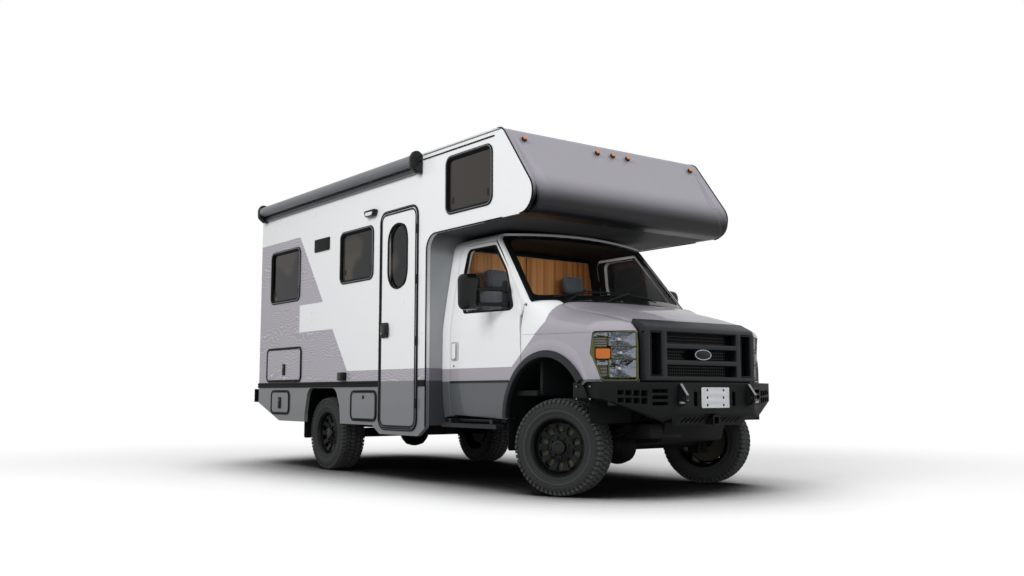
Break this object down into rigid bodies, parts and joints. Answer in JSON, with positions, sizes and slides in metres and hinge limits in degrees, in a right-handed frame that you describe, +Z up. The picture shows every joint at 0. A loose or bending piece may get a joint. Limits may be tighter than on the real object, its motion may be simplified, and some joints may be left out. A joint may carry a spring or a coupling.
{
  "type": "motorhome",
  "caption": "Cab-over motorhome on a raised van chassis with off-road bumpers, entry door, lockers, awning and steered front wheels.",
  "frame": {"origin": "on the ground under the middle of the vehicle's length and width", "axes": "+X forward, +Y to the vehicle's left, +Z up"},
  "size_m": [6.466, 2.666, 3.2867],
  "materials": {
    "frame_black": "satin",
    "cast_grey": "matt",
    "tank_black": "matt",
    "exhaust_steel": "satin",
    "coach_white": "gloss",
    "roof_white": "satin",
    "lavender_grey": "gloss",
    "skirt_grey": "gloss",
    "cab_white": "gloss",
    "shadow_grey": "satin",
    "dark_glass": "tinted",
    "clear_glass": "clear",
    "black_plastic": "grained",
    "bumper_black": "matt powder coat",
    "awning_grey": "satin",
    "lamp_clear": "clear over chrome",
    "seat_grey": "woven",
    "dash_grey": "grained",
    "locker_grey": "satin",
    "floor_grey": "satin",
    "tyre_rubber": "matt",
    "rim_black": "satin",
    "mirror_black": "satin"
  },
  "bodies": {
    "vehicle": {"chassis_frame": "frame_black", "cross_members": "frame_black", "engine_block": "cast_grey", "driveline": "cast_grey", "fuel_tank": "tank_black", "exhaust": "exhaust_steel", "front_axle": "frame_black", "rear_axle": "frame_black", "springs": "frame_black", "coach_right_wall": "coach_white", "coach_left_wall": "coach_white", "coach_roof": "roof_white", "coach_rear_wall": "coach_white", "coach_floor": "floor_grey", "coach_front_wall": "shadow_grey", "front_cap": "lavender_grey", "coach_glass": "dark_glass", "storage_boxes": "locker_grey", "entry_step": "tank_black", "roof_units": "roof_white", "awning": "awning_grey", "rear_bumper": "bumper_black", "cab_shell": "cab_white", "fenders": "lavender_grey", "wheel_arch_trim": "black_plastic", "grille": "black_plastic", "headlights": "lamp_clear", "front_bumper": "bumper_black", "windscreen": "clear_glass", "running_boards": "black_plastic", "cab_seats": "seat_grey", "dashboard": "dash_grey"},
    "right_cab_door": {"right_cab_door": "cab_white", "right_door_glass": "clear_glass", "right_mirror": "mirror_black"},
    "left_cab_door": {"left_cab_door": "cab_white", "left_door_glass": "clear_glass", "left_mirror": "mirror_black"},
    "entry_door": {"entry_door": "coach_white", "entry_door_glass": "dark_glass"},
    "hood": {"hood": "lavender_grey"},
    "upper_rear_hatch": {"upper_rear_hatch": "coach_white"},
    "lower_rear_hatch": {"lower_rear_hatch": "skirt_grey"},
    "middle_hatch": {"middle_hatch": "skirt_grey"},
    "right_knuckle": {"right_knuckle": "frame_black"},
    "left_knuckle": {"left_knuckle": "frame_black"},
    "front_right_wheel": {"front_right_rim": "rim_black", "front_right_tyre": "tyre_rubber"},
    "front_left_wheel": {"front_left_rim": "rim_black", "front_left_tyre": "tyre_rubber"},
    "rear_right_wheel": {"rear_right_rim": "rim_black", "rear_right_tyre": "tyre_rubber"},
    "rear_left_wheel": {"rear_left_rim": "rim_black", "rear_left_tyre": "tyre_rubber"}
  },
  "joints": [
    {"name": "steer_left", "type": "hinge", "parent": "vehicle", "child": "left_knuckle", "pos_m": [2.293, 0.8, 0.386], "axis": [0, 0, 1], "range_deg": [-60, 10]},
    {"name": "steer_right", "type": "hinge", "parent": "vehicle", "child": "right_knuckle", "pos_m": [2.293, -0.8, 0.386], "axis": [0, 0, 1], "range_deg": [-60, 10]},
    {"name": "front_left_roll", "type": "hinge", "parent": "left_knuckle", "child": "front_left_wheel", "pos_m": [2.25285, 0.8861, 0.386], "axis": [-0.4226, 0.9063, 0], "continuous": true},
    {"name": "front_right_roll", "type": "hinge", "parent": "right_knuckle", "child": "front_right_wheel", "pos_m": [2.33315, -0.8861, 0.386], "axis": [-0.4226, 0.9063, 0], "continuous": true},
    {"name": "rear_left_roll", "type": "hinge", "parent": "vehicle", "child": "rear_left_wheel", "pos_m": [-1.357, 0.98, 0.386], "axis": [0, 1, 0], "continuous": true},
    {"name": "rear_right_roll", "type": "hinge", "parent": "vehicle", "child": "rear_right_wheel", "pos_m": [-1.357, -0.98, 0.386], "axis": [0, 1, 0], "continuous": true},
    {"name": "right_cab_door_hinge", "type": "hinge", "parent": "vehicle", "child": "right_cab_door", "pos_m": [1.9205, -1.002, 1.1], "axis": [0, 0, 1], "range_deg": [0, 68]},
    {"name": "left_cab_door_hinge", "type": "hinge", "parent": "vehicle", "child": "left_cab_door", "pos_m": [1.9205, 1.002, 1.1], "axis": [0, 0, -1], "range_deg": [0, 68]},
    {"name": "entry_door_hinge", "type": "hinge", "parent": "vehicle", "child": "entry_door", "pos_m": [0.5625, -1.1895, 1.5], "axis": [0, 0, 1], "range_deg": [0, 105]},
    {"name": "hood_hinge", "type": "hinge", "parent": "vehicle", "child": "hood", "pos_m": [2.2205, 0, 1.592], "axis": [0, -1, 0], "range_deg": [0, 50]},
    {"name": "upper_rear_hatch_hinge", "type": "hinge", "parent": "vehicle", "child": "upper_rear_hatch", "pos_m": [-2.323, -1.189, 1.3215], "axis": [-1, 0, 0], "range_deg": [0, 100]},
    {"name": "lower_rear_hatch_hinge", "type": "hinge", "parent": "vehicle", "child": "lower_rear_hatch", "pos_m": [-2.397, -1.189, 0.8325], "axis": [-1, 0, 0], "range_deg": [0, 90]},
    {"name": "middle_hatch_hinge", "type": "hinge", "parent": "vehicle", "child": "middle_hatch", "pos_m": [-0.4275, -1.189, 0.5535], "axis": [1, 0, 0], "range_deg": [0, 90]}
  ],
  "couplings": [
    {"joint": "steer_right", "follows": "steer_left", "ratio": 1}
  ]
}
